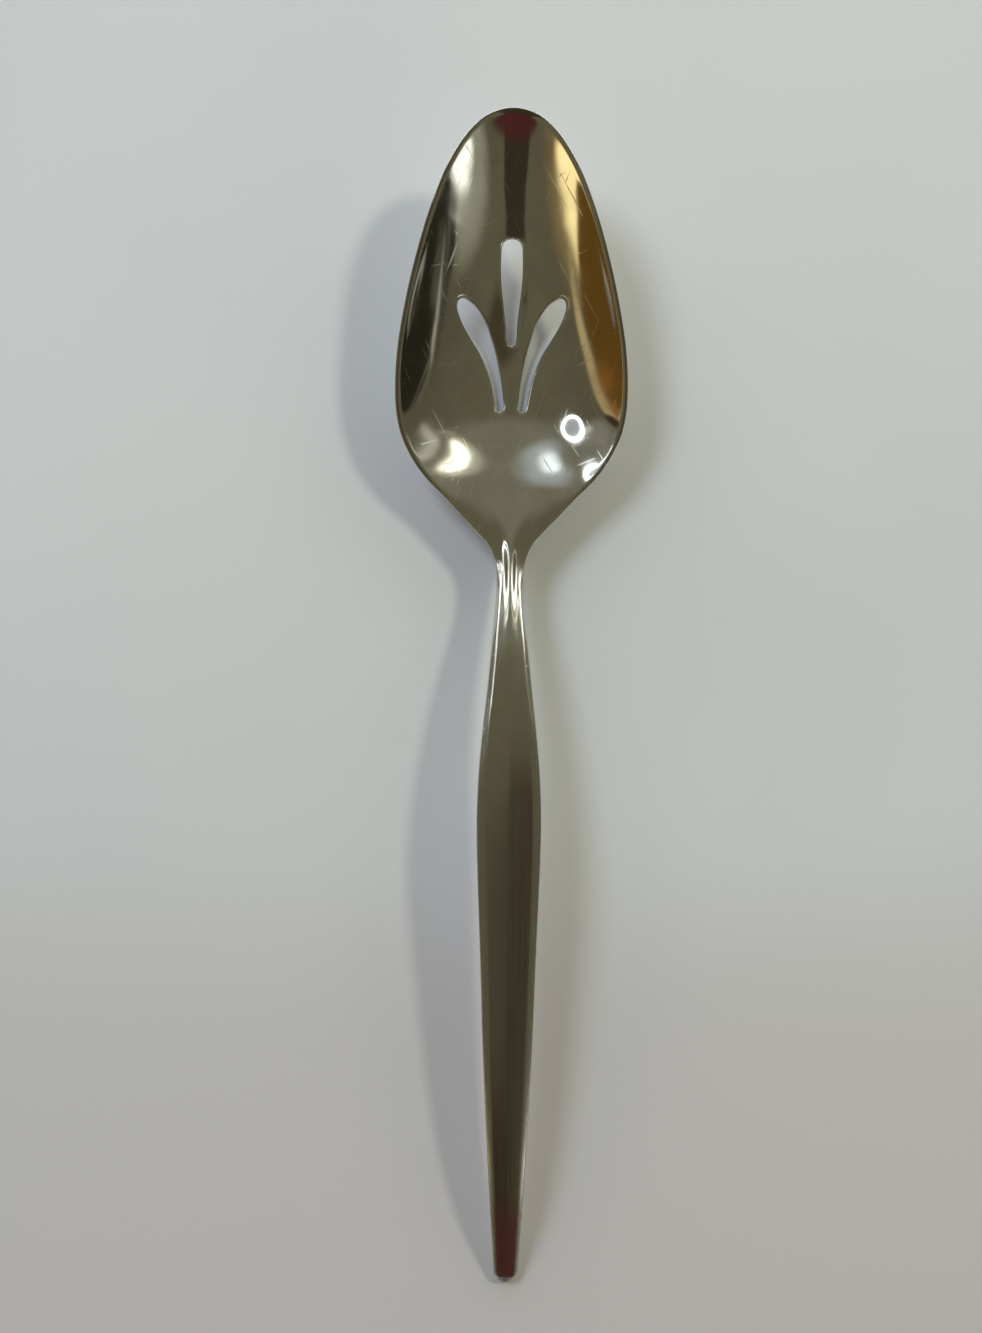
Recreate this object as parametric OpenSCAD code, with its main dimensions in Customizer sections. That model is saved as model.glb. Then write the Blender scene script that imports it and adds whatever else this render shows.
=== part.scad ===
// Slotted serving spoon, pressed from one piece of stainless steel.
// It lies on its bowl and on the end of its handle, with the hollow side up.
// Y runs along the spoon towards the bowl, X across it and Z up from the table.

/* [Bowl] */
// Length from the front of the bowl to the narrowest place of the neck
bowl_length = 83.4; // [70:0.2:106]
// Width of the bowl at its widest place
bowl_width = 42.4; // [36:0.2:56]
// Depth of the hollow under the rim where the floor is lowest
bowl_depth = 9.5; // [7:0.1:12]
// Height of the rim above the table at the front
front_height = 19.5; // [14:0.5:27]
// Thickness of the steel in the floor of the bowl
bowl_wall = 1.5; // [1.1:0.1:2]
// Width of the polished land on top of the rim
rim_width = 0.8; // [0.6:0.1:1.5]
// Height of the upright outer edge of the rim
rim_edge = 0.9; // [0.6:0.1:1.3]
// How far the rim dips between the bowl and the neck
rim_dip = 1.3; // [0:0.05:1.5]

/* [Slots] */
// Length of the middle slot
middle_slot_length = 18.4; // [12:0.2:23]
// Width of the middle slot at its widest place
middle_slot_width = 3.9; // [2.4:0.1:5]
// Distance from the front of the bowl to the middle slot
middle_slot_start = 20.9; // [17.9:0.2:24.9]
// Length of the two curved side slots, measured along the spoon
side_slot_length = 20.4; // [14:0.2:24]
// Reach of the side slots from the middle of the bowl
side_slot_reach = 10; // [8:0.1:13]
// Distance from the front of the bowl to the side slots
side_slot_start = 31.3; // [28.3:0.2:34.3]

/* [Neck] */
// Width of the neck at its narrowest place
neck_width = 5; // [4:0.2:8]
// Thickness of the neck at its narrowest place
neck_thickness = 3.8; // [2.8:0.1:5]
// Height of the top of the neck above the table
neck_height = 9.5; // [8.5:0.1:12]
// Height of the ridge that runs from the neck into the bowl
ridge_height = 0.5; // [0:0.1:0.8]

/* [Handle] */
// Length from the narrowest place of the neck to the end of the handle
handle_length = 129.6; // [102:0.2:172]
// Width of the handle at its widest place
handle_width = 11.7; // [9:0.1:18]
// Width of the handle close to its end
end_width = 4.5; // [3.6:0.1:8]
// Radius of the two corners at the end of the handle
end_corner = 1.1; // [0.6:0.1:1.6]
// Thickness of the handle in the middle of its length
handle_thickness = 2.4; // [1.8:0.1:3.2]
// Thickness of the handle at its end
end_thickness = 1.8; // [1.4:0.1:2.6]
// Height of the highest place of the handle above the table
arch_height = 15; // [13.6:0.2:30]
// Width of the bevel along each edge of the handle at its widest place
bevel_width = 1.5; // [0.8:0.1:2.4]
// How far the bevels fall from the face of the handle to its edges
bevel_drop = 0.7; // [0.3:0.1:0.9]

/* [Hidden] */

// Wear that leaves a small flat where the spoon stands on the table
rest_wear = 0.12;
// Overrun of the cutters past the steel that they cut
over = 2;
// Steps between two points of the outline
outline_steps = 3;
// Columns of the surface on each side of the middle line
columns = 12;

bowl_half = bowl_width / 2;
neck_half = neck_width / 2;
handle_half = handle_width / 2;
end_half = end_width / 2;
spoon_length = bowl_length + handle_length;
rim_height = bowl_depth + bowl_wall;
edge_height = neck_height - bevel_drop * neck_thickness / handle_thickness;

// Front of the bowl: share of its length, share of its half width
front_shares = [
    [0, 0], [0.013, 0.204], [0.048, 0.373], [0.106, 0.53], [0.192, 0.681], [0.293, 0.809],
    [0.408, 0.919], [0.509, 0.984], [0.579, 1]
];
// Back of the bowl: share of its length, share of the way from neck to bowl half width
shoulder_shares = [
    [0.639, 0.988], [0.687, 0.939], [0.735, 0.837], [0.777, 0.699], [0.819, 0.511],
    [0.861, 0.339], [0.896, 0.189], [0.929, 0.068], [0.964, 0.012]
];
// Swell of the handle: share of its length, share of the way from neck to handle half width
swell_shares = [
    [0, 0], [0.032, 0.05], [0.094, 0.27], [0.152, 0.477], [0.21, 0.712], [0.259, 0.883],
    [0.307, 0.979], [0.341, 1]
];
// Taper of the handle: share of its length, share of the way from end to handle half width
taper_shares = [
    [0.394, 0.966], [0.448, 0.897], [0.507, 0.812], [0.566, 0.738], [0.636, 0.659],
    [0.716, 0.535], [0.797, 0.39], [0.87, 0.255], [0.935, 0.114], [0.973, 0.032]
];
// Corner at the end of the handle, in corner radii from the end and from the edge
corner_shares = [
    [1, 0.02], [0.5, 0.134], [0.134, 0.5], [0, 1]
];
// Rim in front of the lowest place of the floor: share of the bowl's length,
// share of the way from the height there to the front height
rim_front_shares = [
    [0, 1], [0.12, 0.812], [0.24, 0.6], [0.372, 0.353], [0.492, 0.141], [0.576, 0]
];
// Rim behind that place: share of the bowl's length, share of the way from neck to rim, share of dip
rim_back_shares = [
    [0.648, 0.68, 0.47], [0.72, 0.4, 0.72], [0.792, 0.15, 0.98], [0.852, 0.04, 1],
    [0.912, 0, 0.76], [0.96, 0, 0.34], [1, 0, 0]
];
// Floor in front of its lowest place: share of the bowl's length,
// share of the way from the lowest place to the front height
floor_front_shares = [
    [0, 0.894], [0.06, 0.764], [0.12, 0.636], [0.18, 0.508], [0.24, 0.383], [0.3, 0.267],
    [0.36, 0.167], [0.42, 0.086], [0.48, 0.031], [0.528, 0.007], [0.576, 0]
];
// Floor behind its lowest place: share of the bowl's length, share of the way to neck height
floor_back_shares = [
    [0.624, 0.008], [0.672, 0.1], [0.72, 0.245], [0.768, 0.425], [0.804, 0.545], [0.84, 0.64],
    [0.876, 0.715], [0.912, 0.78], [0.948, 0.85], [0.972, 0.91], [1, 1]
];
// Climb of the handle: share of its length, share of the way from neck to arch
climb_shares = [
    [0.0285, 0.2], [0.0594, 0.41], [0.098, 0.627], [0.1365, 0.79], [0.175, 0.9], [0.221, 0.973],
    [0.275, 1]
];
// Fall of the handle: share of its length, share of the way from end to arch
fall_shares = [
    [0.346, 0.985], [0.425, 0.945], [0.504, 0.89], [0.583, 0.83], [0.661, 0.76], [0.74, 0.665],
    [0.819, 0.535], [0.882, 0.39], [0.921, 0.27], [0.96, 0.14], [1, 0]
];
// Thickness in the bowl: share of its length, share of the way from wall to neck
wall_shares = [
    [0, 0], [0.3, 0], [0.6, 0], [0.7, 0.06], [0.78, 0.25], [0.86, 0.6], [0.94, 0.9], [1, 1]
];
// Thickness in the handle: share of its length, share of the way from middle to neck
slim_shares = [
    [0.1, 0.84], [0.25, 0.4], [0.4, 0.1], [0.55, 0]
];
// Place in the bowl's length from which the surface fans out to the front
pole_share = 0.24;
// Place in the bowl's length where that fan ends
fan_share = 0.52;
// Steepness of the walls, as the power of the distance from the middle line
front_power = 2;
bowl_power = 2.1;
face_power = 1.35;
back_power = 3.6;
// Share of the drop at a handle edge that falls before the bevel starts
face_drop_share = 0.3;
// Places in the bowl's length where its section turns into the handle's
turn_shares = [0.82, 1.1];
// Places in the bowl's length where the ridge starts, is full and ends
ridge_shares = [0.78, 0.93, 1.2];
// Half width of the ridge, as a share of the half width there
ridge_width_share = 0.5;

// Middle slot: share of its length, share of its half width
middle_slot_shares = [
    [0, 0.42], [0.015, 0.678], [0.049, 0.878], [0.117, 0.974], [0.196, 1], [0.344, 0.987],
    [0.468, 0.904], [0.644, 0.704], [0.826, 0.524], [0.985, 0.394], [1, 0.333]
];
// Inner edge of the right side slot: share of the reach, share of its length
inner_edge_shares = [
    [0.9, 0], [0.821, 0.015], [0.695, 0.054], [0.576, 0.124], [0.464, 0.224], [0.376, 0.345],
    [0.301, 0.461], [0.24, 0.587], [0.187, 0.723], [0.151, 0.865], [0.137, 0.965]
];
// Outer edge of the right side slot, from its back to its front
outer_edge_shares = [
    [0.162, 0.992], [0.21, 1], [0.262, 0.992], [0.285, 0.965], [0.311, 0.901], [0.345, 0.813],
    [0.396, 0.705], [0.479, 0.59], [0.595, 0.472], [0.721, 0.377], [0.858, 0.27], [0.957, 0.168],
    [0.998, 0.101], [0.997, 0.043], [0.959, 0.011]
];

// Slope of a curve at point b, on its way from a to c
function slope(a, b, c) =
    let (before = norm(b - a), after = norm(c - b))
    ((b - a) * after / before + (c - b) * before / after) / (before + after);

// Point between b and c of a smooth curve through a, b, c and d
function bend(a, b, c, d, f) =
    let (span = norm(c - b), go = slope(a, b, c) * span, come = slope(b, c, d) * span)
    b * (2 * f * f * f - 3 * f * f + 1) + go * (f * f * f - 2 * f * f + f)
    + c * (3 * f * f - 2 * f * f * f) + come * (f * f * f - f * f);

// Smooth curve through points, with first and last only steering its ends
function curve(points, steps) = [
    for (i = [1 : len(points) - 3], k = [0 : steps - 1])
        bend(points[i - 1], points[i], points[i + 1], points[i + 2], k / steps),
    points[len(points) - 2]
];

// Height at x of a smooth line through points [x, height]
function level(points, x, i = 0) =
    i < len(points) - 2 && x > points[i + 1][0]
        ? level(points, x, i + 1)
        : let (
            b = points[i],
            c = points[i + 1],
            a = i > 0 ? points[i - 1] : 2 * b - c,
            d = i < len(points) - 2 ? points[i + 2] : 2 * c - b,
            run = c[0] - b[0],
            rise = (c[1] - b[1]) / run,
            before = b[0] - a[0],
            after = d[0] - c[0],
            go = ((b[1] - a[1]) / before * run + rise * before) / (run + before),
            come = ((d[1] - c[1]) / after * run + rise * after) / (run + after),
            f = max(0, min(1, (x - b[0]) / run))
        )
        b[1] * (2 * f * f * f - 3 * f * f + 1) + c[1] * (3 * f * f - 2 * f * f * f)
        + run * (go * (f * f * f - 2 * f * f + f) + come * (f * f * f - f * f));

// Smooth step from 0 at a to 1 at b
function ease(a, b, x) =
    let (f = max(0, min(1, (x - a) / (b - a))))
    f * f * (3 - 2 * f);

function mix(a, b, f) = a + (b - a) * f;

// Outline of the right side, as [distance from the front, half width]
front_points = [for (p = front_shares) [p[0] * bowl_length, p[1] * bowl_half]];
shoulder_points = [
    for (p = shoulder_shares) [p[0] * bowl_length, mix(neck_half, bowl_half, p[1])]
];
swell_points = [
    for (p = swell_shares)
        [bowl_length + p[0] * handle_length, mix(neck_half, handle_half, p[1])]
];
taper_points = [
    for (p = taper_shares)
        [bowl_length + p[0] * handle_length, mix(end_half, handle_half, p[1])]
];
corner_points = [
    for (p = corner_shares) [spoon_length - p[0] * end_corner, end_half - p[1] * end_corner]
];

// Heights of the upper side above the table, along the middle line and along the edge
middle_heights = [
    for (p = floor_front_shares) [p[0] * bowl_length, mix(bowl_wall, front_height, p[1])],
    for (p = floor_back_shares) [p[0] * bowl_length, mix(bowl_wall, neck_height, p[1])],
    for (p = climb_shares)
        [bowl_length + p[0] * handle_length, mix(neck_height, arch_height, p[1])],
    for (p = fall_shares)
        [bowl_length + p[0] * handle_length, mix(end_thickness, arch_height, p[1])]
];
rim_heights = [
    for (p = rim_front_shares) [p[0] * bowl_length, mix(rim_height, front_height, p[1])],
    for (p = rim_back_shares)
        [p[0] * bowl_length, mix(edge_height, rim_height, p[1]) - rim_dip * p[2]]
];
thicknesses = [
    for (p = wall_shares) [p[0] * bowl_length, mix(bowl_wall, neck_thickness, p[1])],
    for (p = slim_shares)
        [bowl_length + p[0] * handle_length, mix(handle_thickness, neck_thickness, p[1])],
    [spoon_length, end_thickness]
];

function thickness(s) = level(thicknesses, s);

function middle_height(s) = level(middle_heights, s) - rest_wear;

// The bevels fall less where the steel is thin
function edge_drop(s) = bevel_drop * thickness(s) / handle_thickness;

function edge_level(s) =
    s < bowl_length ? level(rim_heights, s) - rest_wear : middle_height(s) - edge_drop(s);

function turn(s) = ease(turn_shares[0] * bowl_length, turn_shares[1] * bowl_length, s);

// Place on the middle line from which the surface runs out to outline point s
function middle_place(s) =
    let (pole = pole_share * bowl_length, fan = fan_share * bowl_length, f = max(0, 1 - s / fan))
    s + pole * f * f;

// Height of the lower edge of the rim and of the handle's sides
function foot_level(s) =
    edge_level(s) - mix(rim_edge, thickness(s) - 2 * edge_drop(s), turn(s));

// Height of the ridge that runs into the bowl
function ridge(s) =
    ridge_height * ease(ridge_shares[0] * bowl_length, ridge_shares[1] * bowl_length, s)
    * (1 - ease(ridge_shares[1] * bowl_length, ridge_shares[2] * bowl_length, s));

// The walls rise more evenly at the front of the bowl
function wall_power(s) = mix(front_power, bowl_power, ease(0, fan_share * bowl_length, s));

// Points of the upper and the lower side for one outline point, out to one edge.
// They follow the floor's middle line, and the walls rise from there to the edge.
function upper_line(c, side) =
    let (
        s = c[0],
        m = middle_place(s),
        w = c[1],
        t = turn(s),
        inner = 1 - mix(rim_width / norm([s - m, w]), bevel_width / handle_half, t),
        rise = edge_level(s) - middle_height(s),
        power = mix(wall_power(s), face_power, t),
        fall = mix(1, face_drop_share, t)
    )
    [
        for (k = [0 : columns])
            let (
                f = k == columns ? 1 : inner * k / (columns - 1),
                h = k == columns ? 1 : fall * pow(k / (columns - 1), power),
                bump = ridge(m) * (1 - ease(0, ridge_width_share, f)),
                place = mix(m, s, f)
            )
            [side * w * f, spoon_length / 2 - place, middle_height(place) + rise * h + bump]
    ];

function lower_line(c, side) =
    let (
        s = c[0],
        m = middle_place(s),
        w = c[1],
        rise = foot_level(s) - middle_height(s) + thickness(s),
        power = mix(wall_power(s), back_power, turn(s))
    )
    [
        for (k = [0 : columns])
            let (f = k / columns, place = mix(m, s, f), base = middle_height(place) - thickness(place))
            [side * w * f, spoon_length / 2 - place, base + rise * pow(f, power)]
    ];

// Whole line from the left edge over the middle to the right edge
function whole(left, right) = [
    for (k = [columns : -1 : 1]) left[k],
    for (k = [0 : columns]) right[k]
];

// Solid between the upper and the lower side along an outline.
// At the front of the bowl the two halves of the first line are one line.
module shell(outline) {
    width = 2 * columns + 1;
    pointed = outline[0][1] == 0;
    first = pointed ? columns + 1 : width;
    rows = len(outline);
    total = first + (rows - 1) * width;
    upper = [
        for (i = [0 : rows - 1])
            each (pointed && i == 0
                ? upper_line(outline[0], 1)
                : whole(upper_line(outline[i], -1), upper_line(outline[i], 1)))
    ];
    lower = [
        for (i = [0 : rows - 1])
            each (pointed && i == 0
                ? lower_line(outline[0], 1)
                : whole(lower_line(outline[i], -1), lower_line(outline[i], 1)))
    ];
    function at(i, j) = i == 0 && pointed ? abs(j) : (i == 0 ? 0 : first + (i - 1) * width) + j + columns;
    faces = [
        for (i = [0 : rows - 2], j = [-columns : columns - 1]) each [
            [at(i, j), at(i, j + 1), at(i + 1, j + 1)],
            [at(i, j), at(i + 1, j + 1), at(i + 1, j)],
            [total + at(i, j), total + at(i + 1, j + 1), total + at(i, j + 1)],
            [total + at(i, j), total + at(i + 1, j), total + at(i + 1, j + 1)]
        ],
        for (i = [0 : rows - 2]) each [
            [at(i, columns), total + at(i, columns), total + at(i + 1, columns)],
            [at(i, columns), total + at(i + 1, columns), at(i + 1, columns)],
            [at(i, -columns), total + at(i + 1, -columns), total + at(i, -columns)],
            [at(i, -columns), at(i + 1, -columns), total + at(i + 1, -columns)]
        ],
        for (i = pointed ? [rows - 1] : [0, rows - 1], j = [-columns : columns - 1]) each (
            i == 0
                ? [
                    [at(i, j), total + at(i, j), total + at(i, j + 1)],
                    [at(i, j), total + at(i, j + 1), at(i, j + 1)]
                ]
                : [
                    [at(i, j), total + at(i, j + 1), total + at(i, j)],
                    [at(i, j), at(i, j + 1), total + at(i, j + 1)]
                ]
        )
    ];
    polyhedron(points = concat(upper, lower), faces = faces);
}

// Everything below the table, which wears the steel flat where it stands
module table() {
    translate([-bowl_width, -spoon_length, -over])
        cube([2 * bowl_width, 2 * spoon_length, over]);
}

// Outline of the middle slot
module middle_slot() {
    right = [
        for (p = middle_slot_shares)
            [p[1] * middle_slot_width / 2, -p[0] * middle_slot_length]
    ];
    left = [for (k = [len(right) - 1 : -1 : 0]) [-right[k][0], right[k][1]]];
    translate([0, spoon_length / 2 - middle_slot_start])
        polygon(curve([left[len(left) - 1], each right, each left, right[0]], outline_steps));
}

// Outline of the right side slot
module side_slot() {
    edge = [
        for (p = concat(inner_edge_shares, outer_edge_shares))
            [p[0] * side_slot_reach, -p[1] * side_slot_length]
    ];
    translate([0, spoon_length / 2 - side_slot_start])
        polygon(curve([edge[len(edge) - 1], each edge, edge[0]], outline_steps));
}

module bowl() {
    outline = curve(
        [
            [front_points[1][0], -front_points[1][1]], each front_points, each shoulder_points,
            swell_points[0], swell_points[1]
        ],
        outline_steps
    );
    color([0.62, 0.61, 0.57])
        difference() {
            shell(outline);
            table();
            linear_extrude(front_height + over) {
                middle_slot();
                side_slot();
                mirror([1, 0]) side_slot();
            }
        }
}

module handle() {
    last = len(corner_points) - 1;
    outline = curve(
        [
            shoulder_points[len(shoulder_points) - 1], each swell_points, each taper_points,
            each corner_points, 2 * corner_points[last] - corner_points[last - 1]
        ],
        outline_steps
    );
    color([0.55, 0.54, 0.51])
        difference() {
            shell(outline);
            table();
        }
}

bowl();
handle();
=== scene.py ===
import math

import bpy
import numpy as np
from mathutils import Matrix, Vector
from mathutils.geometry import delaunay_2d_cdt


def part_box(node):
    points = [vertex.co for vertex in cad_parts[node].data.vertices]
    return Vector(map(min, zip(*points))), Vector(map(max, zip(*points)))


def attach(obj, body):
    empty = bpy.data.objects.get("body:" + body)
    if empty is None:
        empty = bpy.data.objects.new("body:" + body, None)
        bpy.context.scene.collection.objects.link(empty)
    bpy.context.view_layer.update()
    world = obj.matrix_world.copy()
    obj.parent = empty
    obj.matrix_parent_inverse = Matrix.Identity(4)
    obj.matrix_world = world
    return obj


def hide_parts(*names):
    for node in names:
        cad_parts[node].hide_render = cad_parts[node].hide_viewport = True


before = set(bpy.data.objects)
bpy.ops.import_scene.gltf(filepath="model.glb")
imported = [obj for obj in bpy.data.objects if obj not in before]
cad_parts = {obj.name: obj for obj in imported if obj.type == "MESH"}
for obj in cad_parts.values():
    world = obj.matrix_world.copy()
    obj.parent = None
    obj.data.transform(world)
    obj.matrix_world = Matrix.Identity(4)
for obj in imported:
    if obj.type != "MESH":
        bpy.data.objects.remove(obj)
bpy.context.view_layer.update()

MM = 0.001

# The photograph's view: straight down, the spoon a little turned
IMAGE_HEIGHT = 1333
PIXEL = 0.18685 * MM
SENSOR_HEIGHT = 36
CAMERA_HEIGHT = 0.375
CAMERA_X, CAMERA_Y = -0.0034, 0.0073
CAMERA_TURN = 0.0062
CLIP_START, CLIP_END = 0.01, 50

camera_data = bpy.data.cameras.new("camera")
camera_data.sensor_fit = "VERTICAL"
camera_data.sensor_height = SENSOR_HEIGHT
camera_data.lens = SENSOR_HEIGHT * CAMERA_HEIGHT / (IMAGE_HEIGHT * PIXEL)
camera_data.clip_start = CLIP_START
camera_data.clip_end = CLIP_END
camera = bpy.data.objects.new("camera", camera_data)
camera.location = (CAMERA_X, CAMERA_Y, CAMERA_HEIGHT)
camera.rotation_euler = (0, 0, CAMERA_TURN)
bpy.context.collection.objects.link(camera)
bpy.context.scene.camera = camera
bpy.context.scene.view_settings.view_transform = "Standard"

# Sizes in millimetres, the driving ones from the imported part
bowl_low, bowl_high = [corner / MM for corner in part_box("bowl")]
handle_low, handle_high = [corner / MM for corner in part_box("handle")]
REST_WEAR = 0.12
BOWL_LENGTH = bowl_high.y - bowl_low.y
BOWL_HALF = bowl_high.x
FRONT_HEIGHT = bowl_high.z + REST_WEAR
HANDLE_LENGTH = handle_high.y - handle_low.y
HANDLE_HALF = handle_high.x
ARCH_HEIGHT = handle_high.z + REST_WEAR
SPOON_LENGTH = BOWL_LENGTH + HANDLE_LENGTH
BOWL_DEPTH = 9.5
BOWL_WALL = 1.5
RIM_HEIGHT = BOWL_DEPTH + BOWL_WALL
RIM_WIDTH = 0.8
RIM_EDGE = 0.9
RIM_DIP = 1.3
NECK_HALF = 2.5
NECK_THICKNESS = 3.8
NECK_HEIGHT = 9.5
RIDGE_HEIGHT = 0.5
END_HALF = 2.25
END_CORNER = 1.1
HANDLE_THICKNESS = 2.4
END_THICKNESS = 1.8
BEVEL_WIDTH = 1.5
BEVEL_DROP = 0.7
EDGE_HEIGHT = NECK_HEIGHT - BEVEL_DROP * NECK_THICKNESS / HANDLE_THICKNESS
MIDDLE_SLOT = dict(length=18.4, half=1.95, start=20.9)
SIDE_SLOT = dict(length=20.4, reach=10, start=31.3)

# Radii that the polishing wheel leaves on the edges
TOP_ROUND = 0.25
BACK_ROUND = 0.25
SLOT_ROUND = 0.35
SLOT_BACK_ROUND = 0.12

# Shares as in the part's source
FRONT_SHARES = [
    (0, 0), (0.013, 0.204), (0.048, 0.373), (0.106, 0.53), (0.192, 0.681), (0.293, 0.809),
    (0.408, 0.919), (0.509, 0.984), (0.579, 1),
]
SHOULDER_SHARES = [
    (0.639, 0.988), (0.687, 0.939), (0.735, 0.837), (0.777, 0.699), (0.819, 0.511),
    (0.861, 0.339), (0.896, 0.189), (0.929, 0.068), (0.964, 0.012),
]
SWELL_SHARES = [
    (0, 0), (0.032, 0.05), (0.094, 0.27), (0.152, 0.477), (0.21, 0.712), (0.259, 0.883),
    (0.307, 0.979), (0.341, 1),
]
TAPER_SHARES = [
    (0.394, 0.966), (0.448, 0.897), (0.507, 0.812), (0.566, 0.738), (0.636, 0.659),
    (0.716, 0.535), (0.797, 0.39), (0.87, 0.255), (0.935, 0.114), (0.973, 0.032),
]
CORNER_SHARES = [(1, 0.02), (0.5, 0.134), (0.134, 0.5), (0, 1)]
RIM_FRONT_SHARES = [
    (0, 1), (0.12, 0.812), (0.24, 0.6), (0.372, 0.353), (0.492, 0.141), (0.576, 0),
]
RIM_BACK_SHARES = [
    (0.648, 0.68, 0.47), (0.72, 0.4, 0.72), (0.792, 0.15, 0.98), (0.852, 0.04, 1),
    (0.912, 0, 0.76), (0.96, 0, 0.34), (1, 0, 0),
]
FLOOR_FRONT_SHARES = [
    (0, 0.894), (0.06, 0.764), (0.12, 0.636), (0.18, 0.508), (0.24, 0.383), (0.3, 0.267),
    (0.36, 0.167), (0.42, 0.086), (0.48, 0.031), (0.528, 0.007), (0.576, 0),
]
FLOOR_BACK_SHARES = [
    (0.624, 0.008), (0.672, 0.1), (0.72, 0.245), (0.768, 0.425), (0.804, 0.545), (0.84, 0.64),
    (0.876, 0.715), (0.912, 0.78), (0.948, 0.85), (0.972, 0.91), (1, 1),
]
CLIMB_SHARES = [
    (0.0285, 0.2), (0.0594, 0.41), (0.098, 0.627), (0.1365, 0.79), (0.175, 0.9), (0.221, 0.973),
    (0.275, 1),
]
FALL_SHARES = [
    (0.346, 0.985), (0.425, 0.945), (0.504, 0.89), (0.583, 0.83), (0.661, 0.76), (0.74, 0.665),
    (0.819, 0.535), (0.882, 0.39), (0.921, 0.27), (0.96, 0.14), (1, 0),
]
WALL_SHARES = [
    (0, 0), (0.3, 0), (0.6, 0), (0.7, 0.06), (0.78, 0.25), (0.86, 0.6), (0.94, 0.9), (1, 1),
]
SLIM_SHARES = [(0.1, 0.84), (0.25, 0.4), (0.4, 0.1), (0.55, 0)]
POLE = 0.24 * BOWL_LENGTH
FAN = 0.52 * BOWL_LENGTH
FRONT_POWER, BOWL_POWER, FACE_POWER, BACK_POWER = 2, 2.1, 1.35, 3.6
FACE_DROP_SHARE = 0.3
TURN_START, TURN_END = 0.82 * BOWL_LENGTH, 1.1 * BOWL_LENGTH
RIDGE_START, RIDGE_TOP, RIDGE_END = [share * BOWL_LENGTH for share in (0.78, 0.93, 1.2)]
RIDGE_WIDTH_SHARE = 0.5
MIDDLE_SLOT_SHARES = [
    (0, 0.42), (0.015, 0.678), (0.049, 0.878), (0.117, 0.974), (0.196, 1), (0.344, 0.987),
    (0.468, 0.904), (0.644, 0.704), (0.826, 0.524), (0.985, 0.394), (1, 0.333),
]
SIDE_SLOT_SHARES = [
    (0.9, 0), (0.821, 0.015), (0.695, 0.054), (0.576, 0.124), (0.464, 0.224), (0.376, 0.345),
    (0.301, 0.461), (0.24, 0.587), (0.187, 0.723), (0.151, 0.865), (0.137, 0.965), (0.162, 0.992),
    (0.21, 1), (0.262, 0.992), (0.285, 0.965), (0.311, 0.901), (0.345, 0.813), (0.396, 0.705),
    (0.479, 0.59), (0.595, 0.472), (0.721, 0.377), (0.858, 0.27), (0.957, 0.168), (0.998, 0.101),
    (0.997, 0.043), (0.959, 0.011),
]

# How finely the surface is divided
STATION_STEP = 0.1
LINE_STEPS, OUTLINE_STEPS, SLOT_STEPS = 20, 30, 8
BELL_REACH = 3
PROFILE_BLUR, RIM_BLUR, EDGE_BLUR = 20, 1, 15
BOWL_STEP, HANDLE_STEP, SMALLEST_STEP = 0.4, 0.8, 0.04
END_STEP, END_GROWTH = 0.08, 0.3
FACE_COLUMNS = 36
EDGE_STEPS = np.array([1, 0.8, 0.6, 0.42, 0.27, 0.15, 0.07, 0.02, 0])
KINK_STEPS = np.array([-1, -0.5, 0, 0.5, 1])
KINK_BLUR, KINK_LIMIT = 0.3, 0.35
EDGE_LIMIT = 0.5
SMALLEST_REACH = 0.01
SMALLEST_WIDTH = 1e-6
SLOT_CLEAR = 0.45
HALVINGS = 50
MERGE_DISTANCE = 1e-7
WEAR_START, WEAR_END = 0.2, 1.3


def mix(a, b, f):
    return a + (b - a) * f


def ease(a, b, x):
    f = np.clip((x - a) / (b - a), 0, 1)
    return f * f * (3 - 2 * f)


def slope(a, b, c):
    before, after = np.linalg.norm(b - a), np.linalg.norm(c - b)
    return ((b - a) * after / before + (c - b) * before / after) / (before + after)


def curve(points, steps):
    """Smooth curve through points, whose first and last only steer its ends."""
    points = np.array(points, float)
    f = (np.arange(steps) / steps)[:, None]
    out = []
    for a, b, c, d in zip(points, points[1:], points[2:], points[3:]):
        span = np.linalg.norm(c - b)
        out.append(
            b * (2 * f**3 - 3 * f**2 + 1) + slope(a, b, c) * span * (f**3 - 2 * f**2 + f)
            + c * (3 * f**2 - 2 * f**3) + slope(b, c, d) * span * (f**3 - f**2)
        )
    return np.vstack(out + [points[-2:-1]])


def soften(values, reach):
    """Evens out a line of values with a bell of that many steps, its ends kept."""
    offsets = np.arange(-BELL_REACH * reach, BELL_REACH * reach + 1)
    bell = np.exp(-offsets**2 / (2 * reach**2))
    pad = len(offsets) // 2
    before = 2 * values[0] - values[pad:0:-1]
    after = 2 * values[-1] - values[-2 : -pad - 2 : -1]
    return np.convolve(np.concatenate([before, values, after]), bell / bell.sum(), "valid")


def bowl_points(shares, low, high):
    """Points of the bowl: distance from the front, and a value between two."""
    return [(place * BOWL_LENGTH, mix(low, high, share)) for place, share in shares]


def handle_points(shares, low, high):
    """Points of the handle: distance from the front, and a value between two."""
    return [
        (BOWL_LENGTH + place * HANDLE_LENGTH, mix(low, high, share)) for place, share in shares
    ]


# Lines along the spoon: heights of its middle and edges, and thickness, at all stations
stations = np.arange(0, SPOON_LENGTH + STATION_STEP / 2, STATION_STEP)


def profile(points, blur):
    """Heights at all stations of a smooth line through points (station, height)."""
    points = np.array(points, float)
    points = np.vstack([2 * points[0] - points[1], points, 2 * points[-1] - points[-2]])
    line = curve(points, LINE_STEPS)
    return soften(np.interp(stations, line[:, 0], line[:, 1]), blur)


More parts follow.
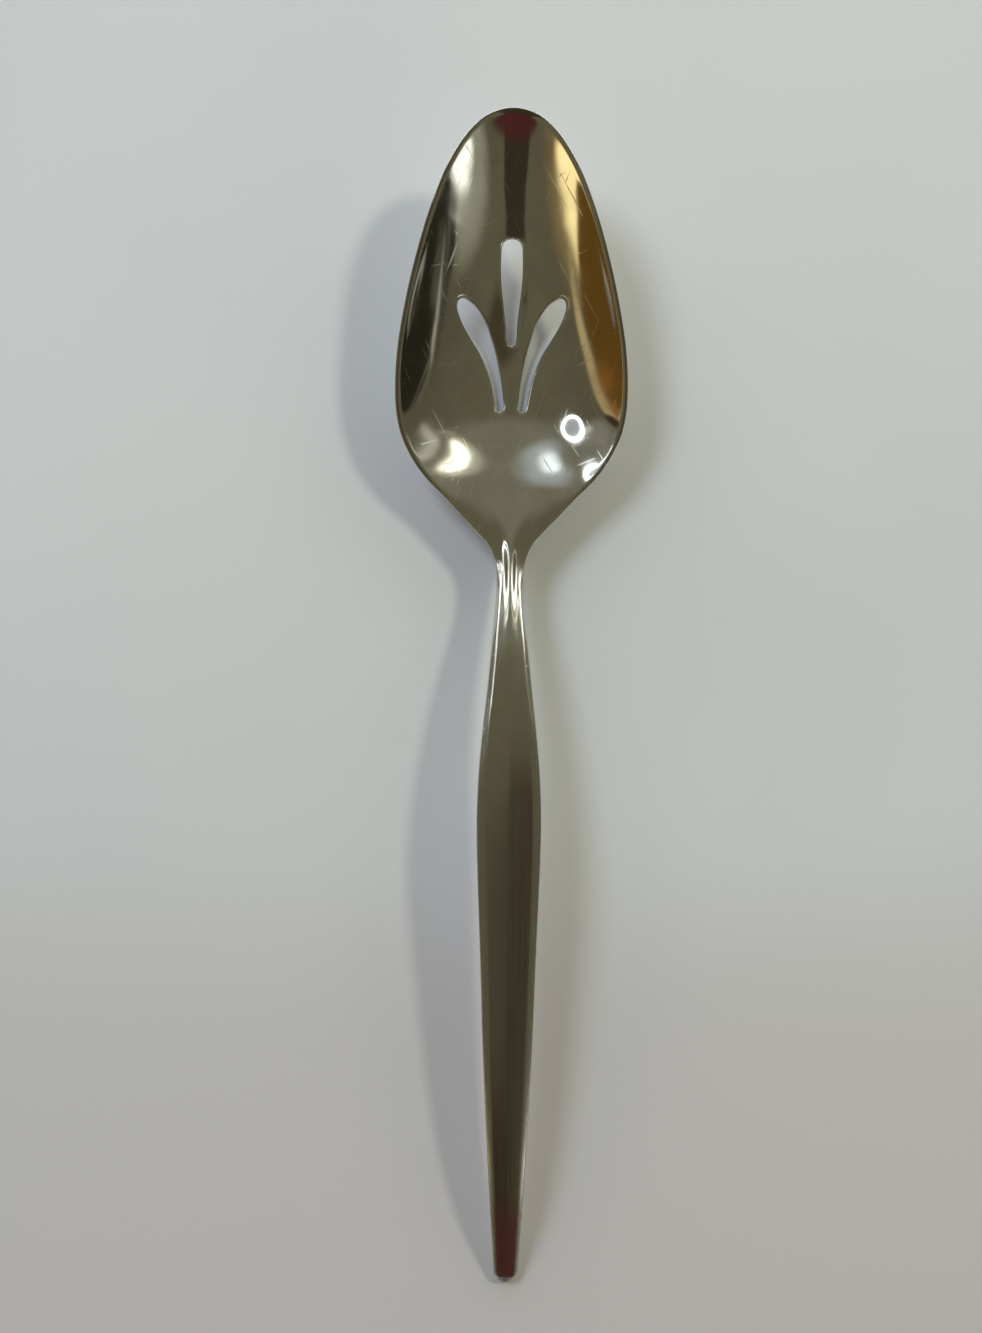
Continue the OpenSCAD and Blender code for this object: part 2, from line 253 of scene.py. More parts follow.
middle_line = profile(
    bowl_points(FLOOR_FRONT_SHARES, BOWL_WALL, FRONT_HEIGHT)
    + bowl_points(FLOOR_BACK_SHARES, BOWL_WALL, NECK_HEIGHT)
    + handle_points(CLIMB_SHARES, NECK_HEIGHT, ARCH_HEIGHT)
    + handle_points(FALL_SHARES, END_THICKNESS, ARCH_HEIGHT),
    PROFILE_BLUR,
) - REST_WEAR
thickness_line = profile(
    bowl_points(WALL_SHARES, BOWL_WALL, NECK_THICKNESS)
    + handle_points(SLIM_SHARES, HANDLE_THICKNESS, NECK_THICKNESS)
    + [(SPOON_LENGTH, END_THICKNESS)],
    PROFILE_BLUR,
)
edge_drops = BEVEL_DROP * thickness_line / HANDLE_THICKNESS
rim_back = [
    (place * BOWL_LENGTH, mix(EDGE_HEIGHT, RIM_HEIGHT, share) - RIM_DIP * dip)
    for place, share, dip in RIM_BACK_SHARES
]
rim_front = bowl_points(RIM_FRONT_SHARES, RIM_HEIGHT, FRONT_HEIGHT)
rim_line = profile(rim_front + rim_back, RIM_BLUR) - REST_WEAR
edge_line = np.where(stations < BOWL_LENGTH, rim_line, middle_line - edge_drops)
edge_line = soften(edge_line, EDGE_BLUR)
turns = ease(TURN_START, TURN_END, stations)
foot_line = edge_line - mix(RIM_EDGE, thickness_line - 2 * edge_drops, turns)
ridge_line = RIDGE_HEIGHT * ease(RIDGE_START, RIDGE_TOP, stations)
ridge_line *= 1 - ease(RIDGE_TOP, RIDGE_END, stations)


def at(line, s):
    return np.interp(s, stations, line)


def middle_place(s):
    """Where the section of an outline point crosses the middle line."""
    return s + POLE * np.clip(1 - s / FAN, 0, 1) ** 2


# Outline of the right side, as (distance from the front, half width), evenly stepped
front = bowl_points(FRONT_SHARES, 0, BOWL_HALF)
shoulder = bowl_points(SHOULDER_SHARES, NECK_HALF, BOWL_HALF)
swell = handle_points(SWELL_SHARES, NECK_HALF, HANDLE_HALF)
taper = handle_points(TAPER_SHARES, END_HALF, HANDLE_HALF)
corner = [(SPOON_LENGTH - a * END_CORNER, END_HALF - b * END_CORNER) for a, b in CORNER_SHARES]
before_front = (front[1][0], -front[1][1])
after_end = (2 * corner[-1][0] - corner[-2][0], 2 * corner[-1][1] - corner[-2][1])
fine = curve(
    [before_front] + front + shoulder + swell + taper + corner + [after_end], OUTLINE_STEPS
)
run = np.concatenate([[0], np.cumsum(np.linalg.norm(np.diff(fine, axis=0), axis=1))])
steps = [0]
while steps[-1] < run[-1]:
    s_here = np.interp(steps[-1], run, fine[:, 0])
    end_step = END_STEP + (SPOON_LENGTH - s_here) * END_GROWTH
    step = mix(BOWL_STEP, HANDLE_STEP, float(ease(BOWL_LENGTH, TURN_END, s_here)))
    steps.append(steps[-1] + max(SMALLEST_STEP, min(step, end_step)))
steps[-1] = run[-1]
row_s = np.interp(steps, run, fine[:, 0])
row_w = np.interp(steps, run, fine[:, 1])
row_w[0] = 0


def row_shape(s, w):
    """What the section at an outline point is like."""
    m = middle_place(s)
    reach = np.maximum(np.hypot(s - m, w), SMALLEST_REACH)
    t = at(turns, s)
    inner = 1 - mix(RIM_WIDTH / reach, BEVEL_WIDTH / HANDLE_HALF, t)
    return m, reach, t, inner


def section(f, inner, fall, power, blur):
    """Share of the drop at share f of the way out: face, soft kink, then land or bevel."""
    rise = fall * power / inner
    side = (1 - fall) / (1 - inner)
    curved = fall * (np.minimum(f, inner) / inner) ** power
    face = np.where(f < inner, curved, fall + rise * (f - inner))
    x = f - inner
    ramp = np.where(x < -blur, 0, np.where(x > blur, x, (x + blur) ** 2 / (4 * blur)))
    return face + (side - rise) * ramp


def rounding(distance, radius):
    """How far an edge rounding falls at that distance from the edge."""
    inside = np.clip(radius - distance, 0, radius)
    return radius - np.sqrt(np.maximum(radius**2 - inside**2, 0))


def kink_blur(inner, reach):
    return np.minimum(KINK_BLUR / reach, KINK_LIMIT * (1 - inner))


def edge_share(inner, reach):
    return np.minimum(TOP_ROUND / reach, EDGE_LIMIT * (1 - inner))


def wall_power(s):
    return mix(FRONT_POWER, BOWL_POWER, ease(0, FAN, s))


def top_height(s, w, f):
    """Height of the upper side at share f of the way out to an outline point."""
    m, reach, t, inner = row_shape(s, w)
    rise = at(edge_line, s) - at(middle_line, s)
    fall = mix(1, FACE_DROP_SHARE, t)
    power = mix(wall_power(s), FACE_POWER, t)
    share = section(f, inner, fall, power, kink_blur(inner, reach))
    bump = at(ridge_line, m) * (1 - ease(0, RIDGE_WIDTH_SHARE, f))
    return at(middle_line, mix(m, s, f)) + rise * share + bump


def back_height(s, w, f):
    """Height of the underside at share f of the way out to an outline point."""
    m, _, t, _ = row_shape(s, w)
    place = mix(m, s, f)
    rise = at(foot_line, s) - at(middle_line, s) + at(thickness_line, s)
    share = f ** mix(wall_power(s), BACK_POWER, t)
    height = at(middle_line, place) - at(thickness_line, place) + rise * share
    return np.maximum(height, 0)


# Grid of the plan: rows along the outline, columns from the middle line to the edge
_, row_reach, _, row_inner = row_shape(row_s, row_w)
row_blur = kink_blur(row_inner, row_reach)
row_edge = edge_share(row_inner, row_reach)
face_shares = np.arange(FACE_COLUMNS) / FACE_COLUMNS
columns = np.concatenate([
    (row_inner - row_blur)[:, None] * face_shares,
    row_inner[:, None] + row_blur[:, None] * KINK_STEPS,
    1 - row_edge[:, None] * EDGE_STEPS,
], axis=1)
rows, width = columns.shape
grid_s = np.repeat(row_s[:, None], width, axis=1)
grid_w = np.repeat(row_w[:, None], width, axis=1)
grid_x = grid_w * columns
grid_p = mix(middle_place(grid_s), grid_s, columns)
edge_distance = np.minimum((1 - columns) * row_reach[:, None], SPOON_LENGTH - grid_p)
edge_radius = (row_edge * row_reach)[:, None]
grid_top = top_height(grid_s, grid_w, columns) - rounding(edge_distance, edge_radius)
grid_back = back_height(grid_s, grid_w, columns)
grid_back = grid_back + rounding(edge_distance, np.minimum(edge_radius, BACK_ROUND))

# Plan vertices: first row once, then the right and the left side of each row
cells = np.stack([grid_x, grid_p, grid_top, grid_back, edge_distance], axis=2)
other_side = np.array([-1, 1, 1, 1, 1])
plan = []
index_right = np.zeros((rows, width), int)
index_left = np.zeros((rows, width), int)
for i in range(rows):
    for j in range(width):
        index_right[i, j] = len(plan)
        plan.append(cells[i, j])
    index_left[i] = index_right[i]
    if i > 0:
        for j in range(1, width):
            index_left[i, j] = len(plan)
            plan.append(cells[i, j] * other_side)
plan = np.array(plan)
quads = []
for i in range(rows - 1):
    for j in range(width - 1):
        for index in (index_right, index_left):
            a, b = index[i, j], index[i, j + 1]
            c, d = index[i + 1, j + 1], index[i + 1, j]
            quads.append((a, d, c, b) if index is index_right else (a, b, c, d))
border = [index_right[i, -1] for i in range(rows)]
border += [index_right[-1, j] for j in range(width - 2, -1, -1)]
border += [index_left[-1, j] for j in range(1, width)]
border += [index_left[i, -1] for i in range(rows - 2, 0, -1)]


def find_share(x, p):
    """Outline point and share of the way out to it, for places well inside the bowl."""
    x = np.abs(x)
    low, high = np.zeros_like(p), np.full_like(p, BOWL_LENGTH)
    for _ in range(HALVINGS):
        s = (low + high) / 2
        w = np.interp(s, row_s, row_w)
        m = middle_place(s)
        too_far = mix(m, s, x / np.maximum(w, SMALLEST_WIDTH)) > p
        high = np.where(too_far, s, high)
        low = np.where(too_far, low, s)
    return s, w, x / w


def ring_loops(outline):
    """Outline points, counter-clockwise, and their outward directions."""
    ahead, behind = np.roll(outline, -1, axis=0), np.roll(outline, 1, axis=0)
    along = ahead - behind
    along /= np.linalg.norm(along, axis=1)[:, None]
    area = np.sum(outline[:, 0] * ahead[:, 1] - ahead[:, 0] * outline[:, 1])
    if area < 0:
        return ring_loops(outline[::-1])
    return outline, np.stack([along[:, 1], -along[:, 0]], axis=1)


def loop_edges(outline):
    return list(zip(outline, np.roll(outline, -1, axis=0)))


def inside_loop(points, edges):
    """Even-odd test of points against one or more closed loops of edges."""
    inside = np.zeros(len(points), bool)
    for (ax, ay), (bx, by) in edges:
        crosses = (ay > points[:, 1]) != (by > points[:, 1])
        if crosses.any():
            at_x = ax + (points[:, 1] - ay) * (bx - ax) / (by - ay if by != ay else 1)
            inside ^= crosses & (points[:, 0] < at_x)
    return inside


# Slots: their outlines, and the quads near them taken out of the grid
middle_right = [
    (b * MIDDLE_SLOT["half"], MIDDLE_SLOT["start"] + a * MIDDLE_SLOT["length"])
    for a, b in MIDDLE_SLOT_SHARES
]
middle_loop = middle_right + [(-x, p) for x, p in middle_right[::-1]]
side_loop = [
    (a * SIDE_SLOT["reach"], SIDE_SLOT["start"] + b * SIDE_SLOT["length"])
    for a, b in SIDE_SLOT_SHARES
]
slot_loops = []
for loop in (middle_loop, side_loop, [(-x, p) for x, p in side_loop]):
    outline = curve([loop[-1]] + loop + [loop[0], loop[1]], SLOT_STEPS)[:-1]
    slot_loops.append(ring_loops(outline))
clear = SLOT_ROUND + SLOT_CLEAR
near_slot = np.zeros(len(plan), bool)
for outline, _ in slot_loops:
    low, high = outline.min(0) - clear, outline.max(0) + clear
    close = np.where(((plan[:, :2] > low) & (plan[:, :2] < high)).all(1))[0]
    distance = np.min(np.linalg.norm(plan[close, None, :2] - outline[None], axis=2), axis=1)
    within = inside_loop(plan[close, :2], loop_edges(outline))
    near_slot[close] |= (distance < clear) | within
removed = [face for face in quads if near_slot[list(face)].any()]
kept = [face for face in quads if not near_slot[list(face)].any()]
uses = {}
for face in removed:
    for a, b in zip(face, face[1:] + face[:1]):
        edge = (min(a, b), max(a, b))
        uses[edge] = uses.get(edge, 0) + 1
hole_edges = [edge for edge, count in uses.items() if count == 1]
hole_vertices = sorted({a for edge in hole_edges for a in edge})

# Rings that roll over from the surface into each slot, and the mesh between them and the grid
patch = [tuple(plan[a, :2]) for a in hole_vertices]
patch_index = list(hole_vertices)
lookup = {a: k for k, a in enumerate(hole_vertices)}
patch_edges = [(lookup[a], lookup[b]) for a, b in hole_edges]
slot_rings = []
new_vertices = []
for outline, outward in slot_loops:
    rings = []
    for share in EDGE_STEPS:
        distance = share * SLOT_ROUND
        ring = outline + outward * share * SLOT_ROUND
        s, w, f = find_share(ring[:, 0], ring[:, 1])
        top = top_height(s, w, f) - rounding(distance, SLOT_ROUND)
        back = back_height(s, w, f) + rounding(distance, SLOT_BACK_ROUND)
        first = len(plan) + len(new_vertices)
        start = len(patch)
        size = len(ring)
        for k in range(size):
            new_vertices.append((ring[k, 0], ring[k, 1], top[k], back[k], distance))
            patch.append(tuple(ring[k]))
            patch_index.append(first + k)
            patch_edges.append((start + k, start + (k + 1) % size))
        rings.append([first + k for k in range(size)])
    slot_rings.append(rings)
_, _, patch_faces, patch_origins, _, _ = delaunay_2d_cdt(
    [Vector(point) for point in patch], patch_edges, [], 0, MERGE_DISTANCE
)
plan = np.vstack([plan, np.array(new_vertices)])
origins = [patch_index[ids[0]] if ids else -1 for ids in patch_origins]
triangles = np.array([[origins[a] for a in face] for face in patch_faces])
triangles = triangles[(triangles >= 0).all(1)]
centres = plan[triangles][:, :, :2].mean(1)
fill = inside_loop(centres, [(plan[a, :2], plan[b, :2]) for a, b in hole_edges])
for outline, _ in slot_loops:
    fill &= ~inside_loop(centres, loop_edges(outline))
triangles = triangles[fill]
corners = plan[triangles][:, :, :2]
area = np.cross(corners[:, 1] - corners[:, 0], corners[:, 2] - corners[:, 0])
triangles[area > 0] = triangles[area > 0][:, ::-1]


def spoon_points(heights):
    return np.stack([plan[:, 0], SPOON_LENGTH / 2 - plan[:, 1], heights], axis=1)


# The whole spoon: upper side, back, outer edge and walls of the slots
count = len(plan)
upper = [tuple(face) for face in kept] + [tuple(face) for face in triangles.tolist()]
faces = list(upper) + [tuple(count + a for a in face[::-1]) for face in upper]
for loop in [border] + [rings[-1] for rings in slot_rings]:
    for a, b in zip(loop, loop[1:] + loop[:1]):
        faces.append((a, b, count + b, count + a))
used = {a for face in upper for a in face}
keep = np.array(sorted(used | {count + a for a in used}))
renumber = np.full(2 * count, -1)
renumber[keep] = np.arange(len(keep))
points = np.vstack([spoon_points(plan[:, 2]), spoon_points(plan[:, 3])])[keep] * MM
mesh_faces = [tuple(renumber[list(face)].tolist()) for face in faces]
mesh = bpy.data.meshes.new("spoon_steel")
mesh.from_pydata(points.tolist(), [], mesh_faces)
mesh.validate()
mesh.polygons.foreach_set("use_smooth", [True] * len(mesh.polygons))
wear = mesh.attributes.new("edge_wear", "FLOAT", "POINT")
distances = np.concatenate([plan[:, 4], plan[:, 4]])[keep]
wear_values = 1 - ease(WEAR_START, WEAR_END, distances)
wear.data.foreach_set("value", wear_values.astype(np.float32))
spoon = bpy.data.objects.new("spoon_steel", mesh)
bpy.context.collection.objects.link(spoon)
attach(spoon, "root")
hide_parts("bowl", "handle")


class Nodes:
    """Short calls for making and linking the nodes of one tree."""

    def __init__(self, tree):
        self.tree = tree
        tree.nodes.clear()

    def add(self, kind, inputs=None, **settings):
        node = self.tree.nodes.new(kind)
        for name, value in settings.items():
            setattr(node, name, value)
        for key, value in (inputs or {}).items():
            socket = node.inputs[key]
            if isinstance(value, bpy.types.NodeSocket):
                self.tree.links.new(value, socket)
            else:
                socket.default_value = value
        return node

    def math(self, operation, a, b=0.0, c=0.0):
        return self.add("ShaderNodeMath", {0: a, 1: b, 2: c}, operation=operation).outputs[0]

    def vector(self, operation, a, b=(0.0, 0.0, 0.0)):
        """Number that the vectors give, such as a length or a dot product."""
        return self.add("ShaderNodeVectorMath", {0: a, 1: b}, operation=operation).outputs[1]

    def split(self, vector):
        return self.add("ShaderNodeSeparateXYZ", {0: vector}).outputs

    def range(self, value, a, b, low=0.0, high=1.0):
        """Soft step from low, where the value is a, to high, where it is b."""
        return self.add(
            "ShaderNodeMapRange",
            {0: value, 1: a, 2: b, 3: low, 4: high},
            interpolation_type="SMOOTHSTEP",
        ).outputs[0]

    def mix(self, factor, a, b):
        return self.add("ShaderNodeMix", {0: factor, 2: a, 3: b}).outputs[0]

    def blend(self, factor, a, b):
        """Mix of two colours."""
        return self.add("ShaderNodeMix", {0: factor, 6: a, 7: b}, data_type="RGBA").outputs[2]

    def noise(self, vector, scale, detail, roughness):
        return self.add(
            "ShaderNodeTexNoise",
            {"Vector": vector, "Scale": scale, "Detail": detail, "Roughness": roughness},
        ).outputs[0]

    def bump(self, height, strength, size):
        return self.add(
            "ShaderNodeBump", {"Height": height, "Strength": strength, "Distance": size}
        ).outputs[0]

    def stretched(self, vector, scale, turn=0.0):
        turned = self.add(
            "ShaderNodeVectorRotate", {"Vector": vector, "Angle": turn}, rotation_type="Z_AXIS"
        ).outputs[0]
        return self.add("ShaderNodeMapping", {"Vector": turned, "Scale": scale}).outputs[0]


# Steel: tones, and the marks as (turn, scales of the noise, share from which it shows)
STEEL_TONE = (0.66, 0.65, 0.62, 1)
CLOUDY_TONE = (0.6, 0.59, 0.555, 1)
SCRATCH_TONE = (0.74, 0.73, 0.7, 1)
WORN_TONE = (0.78, 0.775, 0.75, 1)
SATIN_TONE = (0.48, 0.47, 0.445, 1)
BRUSH_SCALE, COARSE_SCALE = (3200, 40, 400), (1100, 14, 200)
SMUDGE_SCALE, CLOUDY_SCALE = 55.0, 210.0
SMUDGE_RANGE, CLOUDY_RANGE, BRUSH_RANGE = (0.35, 0.7), (0.3, 0.75), (0.3, 0.7)
SCRATCHES = [
    (0.35, (2600, 50, 300), 0.69),
    (-0.5, (2400, 60, 300), 0.7),
    (1.2, (2100, 45, 300), 0.71),
]
SCRATCH_SOFTNESS = 0.03
SATIN_START, SATIN_END = 0.004, -0.03
MATT_START, MATT_END, MATT_SHARE = 0.031, 0.022, 0.6
POLISHED_ROUGHNESS = (0.06, 0.11)
BRUSHED_ROUGHNESS = (0.17, 0.27)
SCRATCH_ROUGHNESS, WEAR_ROUGHNESS = 0.16, 0.05
SCRATCH_SHARE, WEAR_SHARE, SATIN_SHARE = 0.5, 0.25, 0.85
SCRATCH_DEPTH, COARSE_DEPTH = -0.4, 1.2
STEEL_BUMP, STEEL_BUMP_SIZE = 0.12, 0.00004


def steel():
    material = bpy.data.materials.new("stainless_steel")
    material.use_nodes = True
    n = Nodes(material.node_tree)
    place = n.add("ShaderNodeTexCoord").outputs["Object"]
    along = n.split(place)[1]
    satin = n.range(along, SATIN_START, SATIN_END)
    wear = n.add("ShaderNodeAttribute", attribute_name="edge_wear").outputs["Fac"]

    # Fine marks: lengthwise brushing on the handle, wiping scratches in the bowl
    brushed = n.noise(n.stretched(place, BRUSH_SCALE), 1.0, 4.0, 0.6)
    coarse = n.noise(n.stretched(place, COARSE_SCALE), 1.0, 2.0, 0.5)
    smudge = n.noise(place, SMUDGE_SCALE, 3.0, 0.55)
    cloudy = n.noise(place, CLOUDY_SCALE, 2.0, 0.5)
    scratches = 0.0
    for turn, scale, cut in SCRATCHES:
        lines = n.noise(n.stretched(place, scale, turn), 1.0, 2.0, 0.55)
        lines = n.range(lines, cut - SCRATCH_SOFTNESS, cut + SCRATCH_SOFTNESS)
        scratches = n.math("MAXIMUM", scratches, lines)

    polished = n.range(smudge, *SMUDGE_RANGE, *POLISHED_ROUGHNESS)
    polished = n.math("MULTIPLY_ADD", scratches, SCRATCH_ROUGHNESS, polished)
    matt = n.math("MAXIMUM", satin, n.range(along, MATT_START, MATT_END, 0.0, MATT_SHARE))
    rough = n.mix(matt, polished, n.range(brushed, *BRUSH_RANGE, *BRUSHED_ROUGHNESS))
    rough = n.math("MULTIPLY_ADD", wear, WEAR_ROUGHNESS, rough)

    tone = n.blend(n.range(cloudy, *CLOUDY_RANGE), STEEL_TONE, CLOUDY_TONE)
    tone = n.blend(n.math("MULTIPLY", scratches, SCRATCH_SHARE), tone, SCRATCH_TONE)
    tone = n.blend(n.math("MULTIPLY", wear, WEAR_SHARE), tone, WORN_TONE)
    tone = n.blend(n.math("MULTIPLY", satin, SATIN_SHARE), tone, SATIN_TONE)

    height = n.mix(satin, n.math("MULTIPLY", scratches, SCRATCH_DEPTH), brushed)
    height = n.math("MULTIPLY_ADD", coarse, n.math("MULTIPLY", satin, COARSE_DEPTH), height)
    normal = n.bump(height, STEEL_BUMP, STEEL_BUMP_SIZE)
    shader = n.add(
        "ShaderNodeBsdfPrincipled",
        {"Base Color": tone, "Metallic": 1.0, "Roughness": rough, "Normal": normal},
    )
    n.add("ShaderNodeOutputMaterial", {0: shader.outputs[0]})
    return material


spoon.data.materials.append(steel())

# Pale floor: its tones, with a painted shade that darkens it on the near side by the handle and a
# painted light that makes it lighter far out, and the distances in metres over which they change
FLOOR_RADIUS = 9.0
FLOOR_CORNERS = 96
FLOOR_DROP = 0.00002
FLOOR_TONES = (0.57, 0.56, 0.583, 1), (0.6, 0.587, 0.605, 1)
NEAR_SHADE_TONE = (0.54, 0.5, 0.515, 1)
FAR_LIGHT_TONE = (0.88, 0.88, 0.89, 1)
NEAR_SHADE_START, NEAR_SHADE_END = -0.015, -0.065
SHADE_SPOT_START, SHADE_SPOT_END = 0.35, 0.17
FAR_LIGHT_START, FAR_LIGHT_END = 0.17, 0.9
GRAIN_SCALE, CLOUD_SCALE = 900.0, 9.0
CLOUD_RANGE = (0.3, 0.7)
FLOOR_BUMP, FLOOR_BUMP_SIZE = 0.15, 0.00005
FLOOR_ROUGHNESS, FLOOR_GLOSS = 0.6, 0.2


def table_top():
    material = bpy.data.materials.new("table_top")
    material.use_nodes = True
    n = Nodes(material.node_tree)
    place = n.add("ShaderNodeTexCoord").outputs["Object"]
    grain = n.noise(place, GRAIN_SCALE, 3.0, 0.6)
    cloud = n.noise(place, CLOUD_SCALE, 3.0, 0.5)
    away = n.vector("LENGTH", place)
    # Painted shade: the floor darker on the near side, towards the end of the handle, fading out
    # between 0.17 m and 0.35 m from the middle
    near_shade = n.range(n.split(place)[1], NEAR_SHADE_START, NEAR_SHADE_END)
    near_shade = n.math("MULTIPLY", near_shade, n.range(away, SHADE_SPOT_START, SHADE_SPOT_END))
    tone = n.blend(n.range(cloud, *CLOUD_RANGE), *FLOOR_TONES)
    tone = n.blend(near_shade, tone, NEAR_SHADE_TONE)
    # Painted light: the floor lighter far out, from 0.17 m to 0.9 m from the middle, so that it
    # joins the backdrop
    tone = n.blend(n.range(away, FAR_LIGHT_START, FAR_LIGHT_END), tone, FAR_LIGHT_TONE)
    shader = n.add(
        "ShaderNodeBsdfPrincipled",
        {
            "Base Color": tone,
            "Roughness": FLOOR_ROUGHNESS,
            "Specular IOR Level": FLOOR_GLOSS,
            "Normal": n.bump(grain, FLOOR_BUMP, FLOOR_BUMP_SIZE),
        },
    )
    n.add("ShaderNodeOutputMaterial", {0: shader.outputs[0]})
    return material


angles = [2 * math.pi * k / FLOOR_CORNERS for k in range(FLOOR_CORNERS)]
floor_points = [
    (FLOOR_RADIUS * math.cos(a), FLOOR_RADIUS * math.sin(a), -FLOOR_DROP) for a in angles
]
floor_mesh = bpy.data.meshes.new("floor")
floor_mesh.from_pydata(floor_points, [], [tuple(range(FLOOR_CORNERS))])
floor = bpy.data.objects.new("floor", floor_mesh)
bpy.context.collection.objects.link(floor)
floor.data.materials.append(table_top())

# Two soft lights where the shadows in the photograph point: place, power, size and colour
LIGHTS = {
    "cool_light": ((-0.47, 0.58, 0.67), 5.1, 0.34, (0.72, 0.875, 1.0)),
    "warm_light": ((0.55, 0.46, 0.6), 3.2, 0.11, (0.93, 1.0, 0.76)),
}
LIT_PLACE = Vector((0, 0.01, 0))
for name, (place, power, size, colour) in LIGHTS.items():
    data = bpy.data.lights.new(name, "AREA")
    data.shape = "DISK"
    data.size = size
    data.energy = power
    data.color = colour
    light = bpy.data.objects.new(name, data)
    light.location = place
    light.rotation_euler = (Vector(place) - LIT_PLACE).to_track_quat("Z", "Y").to_euler()
    light.visible_glossy = False
    bpy.context.collection.objects.link(light)

# Room around the table: what the polished steel mirrors
MIRRORED_SHARE = 0.64
BACKDROP = (0.43, 0.44, 0.44, 1)


def linear_level(value):
    level = value / 255
    return level / 12.92 if level < 0.04 else ((level + 0.055) / 1.055) ** 2.4


def mirrored(red, green, blue):
    """World colour that the steel shows as this colour of the picture."""
    return tuple(linear_level(value) / MIRRORED_SHARE for value in (red, green, blue)) + (1,)


CEILING = mirrored(86, 82, 64)
WALLS = mirrored(80, 75, 58)
SHADE = mirrored(47, 43, 30)
CEILING_RANGE = (0.3, 0.85)
# Dark strip on the near side, by the parts of a ray of length 1
STRIP_MIDDLE = -0.05
STRIP_SIDES = (0.24, 0.2)
STRIP_FRONT = (-0.1, -0.25)
STRIP_TOP = (0.92, 0.86)
# Soft shapes in the room: azimuth (0 right, 90 towards the front of the bowl), elevation, half
# width, half height and tilt in degrees, softness as a share of the size, and the colour that the
# steel shows, above 255 for lamps and windows brighter than white
PATCHES = [
    (90, 50, 42, 17, 0, 0.7, (106, 103, 88)),
    (-60, 72, 18, 14, 0, 0.6, (60, 54, 40)),
    (-91, 30.8, 29, 10.2, 0, 0.15, (58, 32, 27)),
    (-91, 30.5, 26, 9.8, 0, 0.4, (70, 33, 32)),
    (-11, 6, 16, 13.5, 0, 0.25, (32, 31, 22)),
    (-17, 10, 3, 4, 0, 0.8, (70, 68, 55)),
    (-13, 17.5, 11, 2.2, 28, 0.6, (64, 62, 49)),
    (-12, 15, 9, 1.0, 29, 0.5, (150, 148, 132)),
    (22, 32.5, 11, 1.0, 27, 0.6, (190, 189, 170)),
    (29, 40, 7, 0.6, 40, 0.6, (140, 139, 120)),
    (-37, 26, 15, 7, -45, 0.9, (132, 131, 114)),
    (-24, 15.5, 3.5, 2.2, 45, 0.8, (38, 36, 26)),
    (-33, 16.9, 10.5, 4.8, -48, 0.6, (280, 282, 268)),
    (-150, 21, 18, 6, 35, 0.9, (108, 94, 62)),
    (187, 21, 15, 2.8, 0, 0.7, (160, 143, 102)),
    (-151, 17.5, 12, 3.0, 37, 0.8, (262, 238, 172)),
    (190, 4, 17, 13, 0, 0.06, (84, 60, 22)),
    (-178.5, 12, 2.6, 8, 0, 1.2, (124, 79, 33)),
    (175, 21, 2.5, 3, 30, 0.5, (44, 32, 20)),
    (161, 32, 12, 4, -38, 0.8, (114, 112, 100)),
    (158, 36.5, 6, 1.2, -35, 0.6, (168, 168, 158)),
    (154, 45.3, 5, 0.7, -20, 0.6, (135, 134, 118)),
    (112, 47, 11.5, 3.2, 0, 1.3, (152, 159, 157)),
    (116, 45.1, 5, 1.0, -6, 1.6, (280, 290, 294)),
    (54, 44, 12, 2.2, 6, 1.4, (180, 178, 158)),
    (50, 43.1, 7, 1.0, 8, 1.5, (420, 415, 375)),
    (90, 13, 52, 11, 0, 0.4, (380, 386, 386)),
    (143, 24, 9, 8, 0, 0.8, (400, 402, 385)),
    (36, 24, 9, 8, 0, 0.8, (400, 402, 385)),
]
# Ring lamp: shape as above, width of its line as a share, colour inside, colour of the line
RING = (153, 42.8, 8.6, 4.3, -18, 0.28, (150, 155, 157), (420, 430, 438))
RING_SOFTNESS = (0.7, 0.3)
RING_INSIDE = (1.0, 0.9)
BEHIND = 100.0


def direction(azimuth, elevation):
    a, e = math.radians(azimuth), math.radians(elevation)
    return Vector((math.cos(a) * math.cos(e), math.sin(a) * math.cos(e), math.sin(e)))


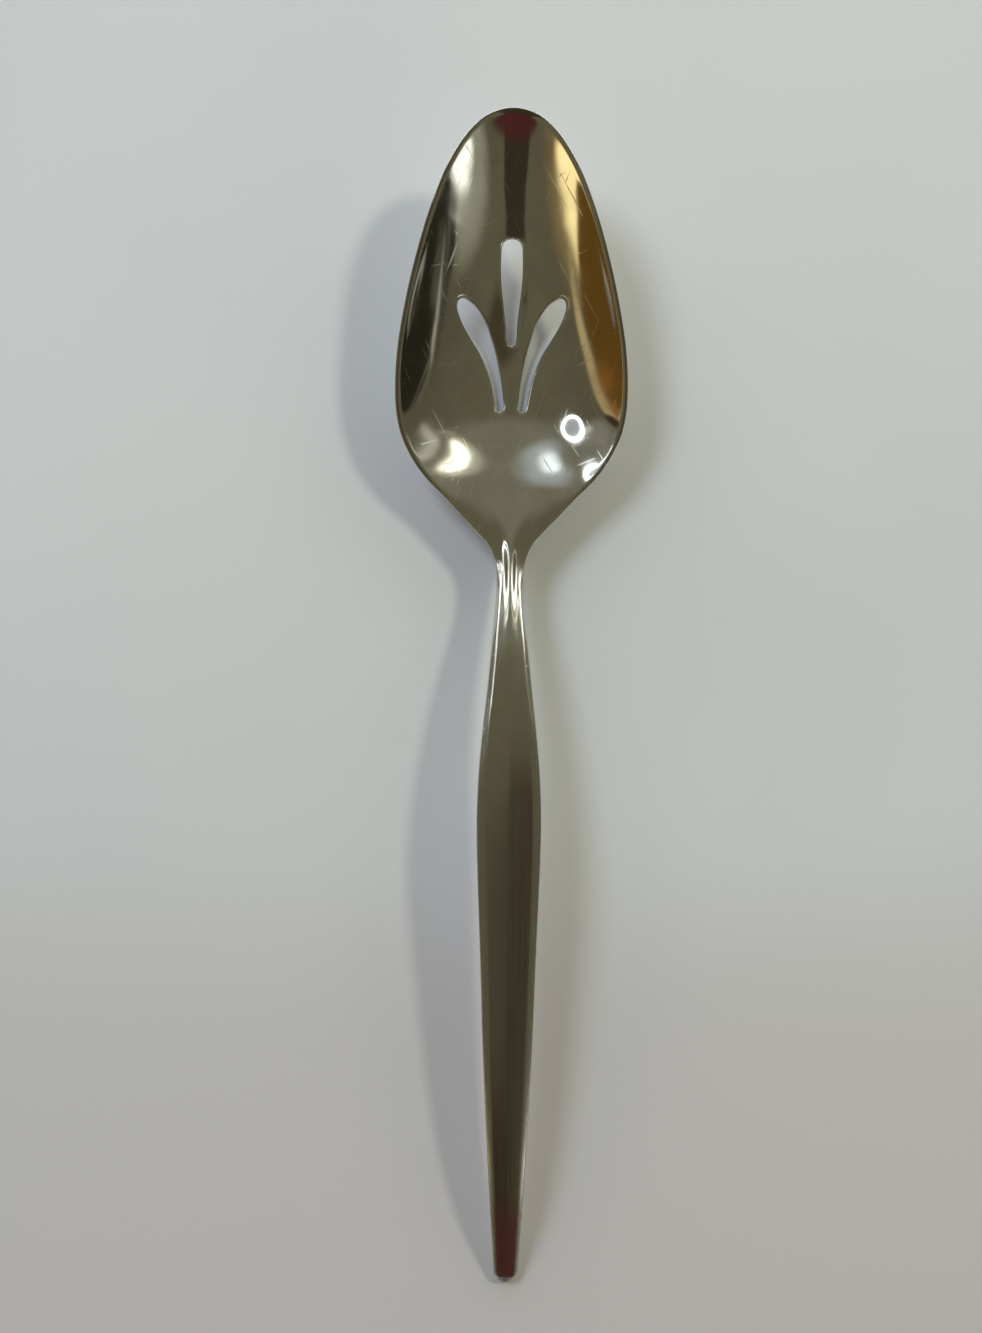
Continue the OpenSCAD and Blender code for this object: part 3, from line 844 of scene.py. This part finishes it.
def shape_distance(n, ray, azimuth, elevation, half_width, half_height, tilt):
    """Distance from the middle of a tilted ellipse in the room, 1 at its edge."""
    ahead = direction(azimuth, elevation)
    right = direction(azimuth + 90, 0)
    up = ahead.cross(right)
    if up.z < 0:
        up = -up
    turn = math.radians(tilt)
    along = (right * math.cos(turn) + up * math.sin(turn)) / math.sin(math.radians(half_width))
    across = (up * math.cos(turn) - right * math.sin(turn)) / math.sin(math.radians(half_height))
    x, y, depth = [n.vector("DOT_PRODUCT", ray, axis) for axis in (along, across, ahead)]
    flat = n.add("ShaderNodeCombineXYZ", {0: x, 1: y}).outputs[0]
    away_side = n.math("LESS_THAN", depth, 0.0)
    return n.math("MULTIPLY_ADD", away_side, BEHIND, n.vector("LENGTH", flat))


def room():
    world = bpy.data.worlds.new("room")
    world.use_nodes = True
    n = Nodes(world.node_tree)
    ray = n.add("ShaderNodeTexCoord").outputs["Generated"]
    side, front, height = n.split(ray)
    tone = n.blend(n.range(height, *CEILING_RANGE), WALLS, CEILING)
    strip = n.math("ABSOLUTE", n.math("SUBTRACT", side, STRIP_MIDDLE))
    strip = n.range(strip, *STRIP_SIDES)
    strip = n.math("MULTIPLY", strip, n.range(front, *STRIP_FRONT))
    strip = n.math("MULTIPLY", strip, n.range(height, *STRIP_TOP))
    tone = n.blend(strip, tone, SHADE)
    for *shape, soft, colour in PATCHES:
        distance = shape_distance(n, ray, *shape)
        tone = n.blend(n.range(distance, 1 + soft / 2, 1 - soft / 2), tone, mirrored(*colour))
    *shape, line, inside, colour = RING
    distance = shape_distance(n, ray, *shape)
    tone = n.blend(n.range(distance, *RING_INSIDE), tone, mirrored(*inside))
    off = n.math("ABSOLUTE", n.math("SUBTRACT", distance, 1.0))
    outer, inner = [line * share for share in RING_SOFTNESS]
    tone = n.blend(n.range(off, outer, inner), tone, mirrored(*colour))
    seen = n.add("ShaderNodeLightPath").outputs["Is Camera Ray"]
    tone = n.blend(seen, tone, BACKDROP)
    background = n.add("ShaderNodeBackground", {0: tone, 1: 1.0})
    n.add("ShaderNodeOutputWorld", {0: background.outputs[0]})
    return world


bpy.context.scene.world = room()

bpy.context.view_layer.update()
